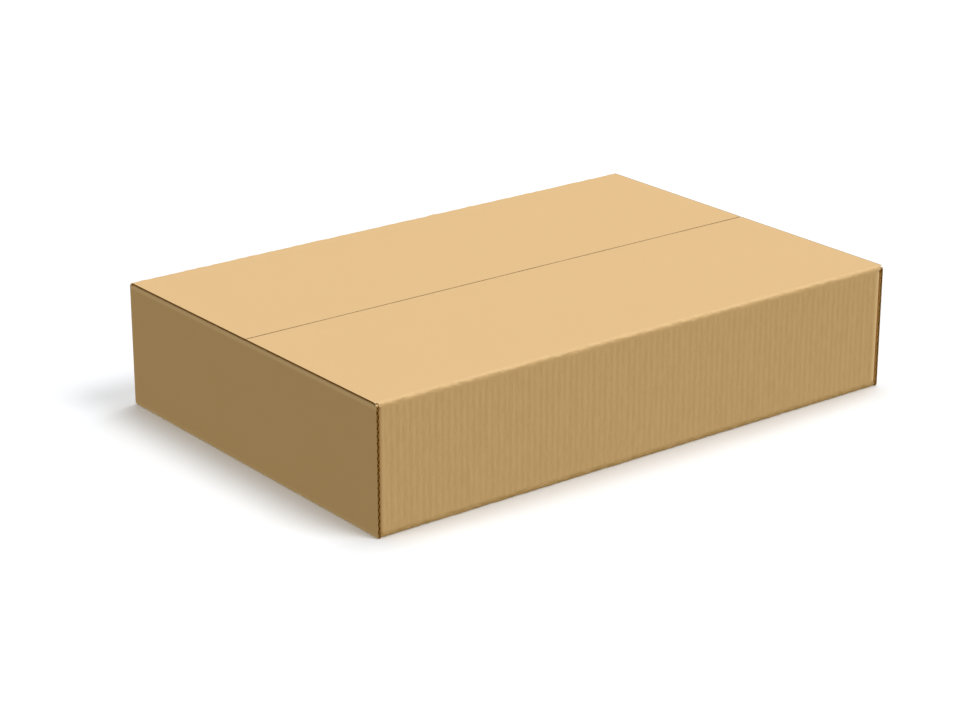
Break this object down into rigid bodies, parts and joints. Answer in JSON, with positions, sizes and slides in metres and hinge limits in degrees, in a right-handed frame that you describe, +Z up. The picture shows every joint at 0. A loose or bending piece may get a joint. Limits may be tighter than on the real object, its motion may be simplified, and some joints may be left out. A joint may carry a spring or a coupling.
{
  "type": "closed corrugated cardboard box",
  "caption": "Shallow rectangular shipping box folded from one corrugated sheet, closed by two long top flaps that meet along the middle.",
  "frame": {"origin": "centre of the underside, where the box stands on its base", "axes": "+X along the length of the box, +Y from the front long wall to the rear one, +Z up towards the top flaps"},
  "size_m": [0.6, 0.4, 0.1235],
  "materials": {
    "corrugated_board": "uncoated kraft paper"
  },
  "bodies": {
    "box": {"box_body": "corrugated_board"},
    "front_top_flap": {"front_flap": "corrugated_board"},
    "rear_top_flap": {"rear_flap": "corrugated_board"}
  },
  "joints": [
    {"name": "front_flap_crease", "type": "hinge", "parent": "box", "child": "front_top_flap", "pos_m": [0, -0.19883, 0.12233], "axis": [1, 0, 0], "range_deg": [0, 175]},
    {"name": "rear_flap_crease", "type": "hinge", "parent": "box", "child": "rear_top_flap", "pos_m": [0, 0.19883, 0.12233], "axis": [-1, 0, 0], "range_deg": [0, 175]}
  ]
}
